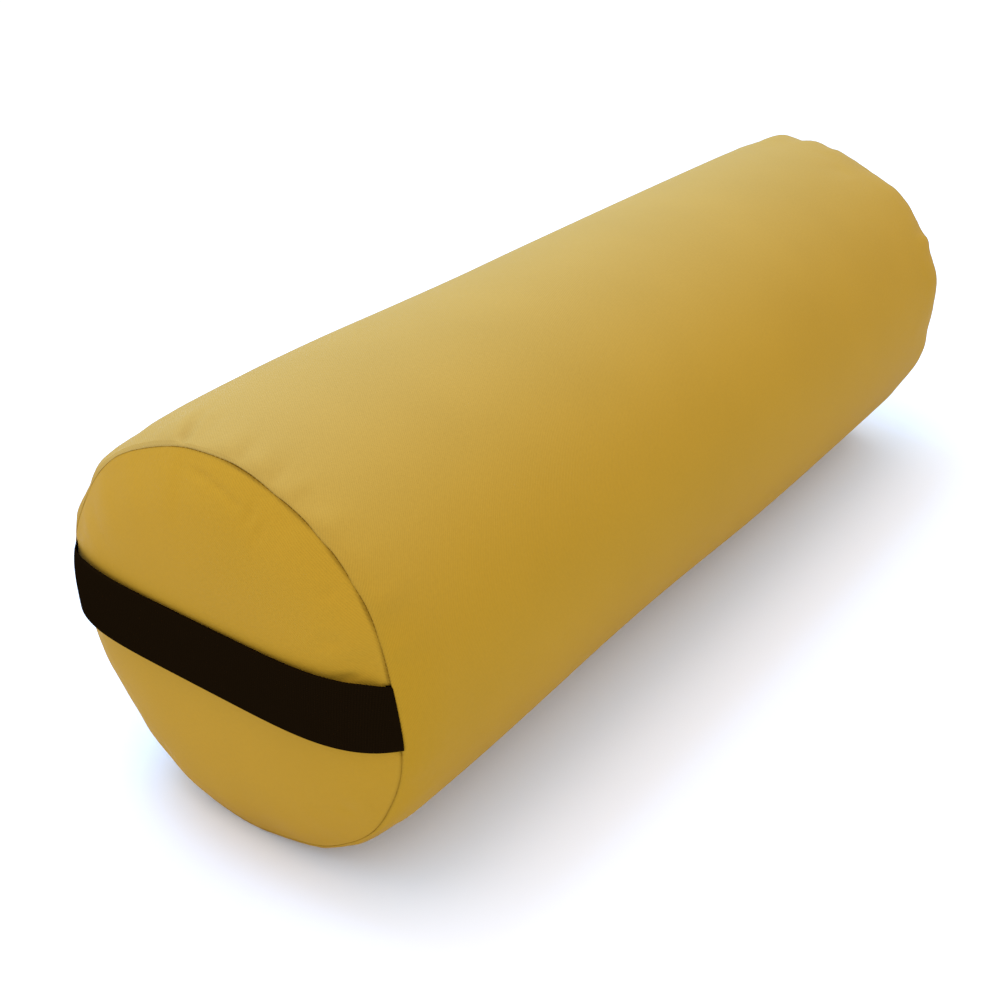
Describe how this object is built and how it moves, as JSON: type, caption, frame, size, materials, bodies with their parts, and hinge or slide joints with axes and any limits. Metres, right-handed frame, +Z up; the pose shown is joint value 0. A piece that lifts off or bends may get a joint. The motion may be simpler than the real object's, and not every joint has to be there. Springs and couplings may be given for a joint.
{
  "type": "yoga bolster",
  "caption": "Round yoga bolster lying on its side: a firm filled cloth cylinder with soft domed end panels and a flat carrying strap sewn across one end.",
  "frame": {"origin": "centre of the bounding box, at the surface the bolster lies on", "axes": "+X along the bolster from the strap end to the far end, +Z up"},
  "size_m": [0.7114, 0.2538, 0.2475],
  "materials": {
    "bolster_cloth": "matt mustard cotton twill",
    "strap_webbing": "matt black brown cotton webbing"
  },
  "bodies": {
    "root": {"bolster_body": "bolster_cloth", "end_panel_near": "bolster_cloth", "end_panel_far": "bolster_cloth", "carry_strap": "strap_webbing"}
  },
  "joints": []
}
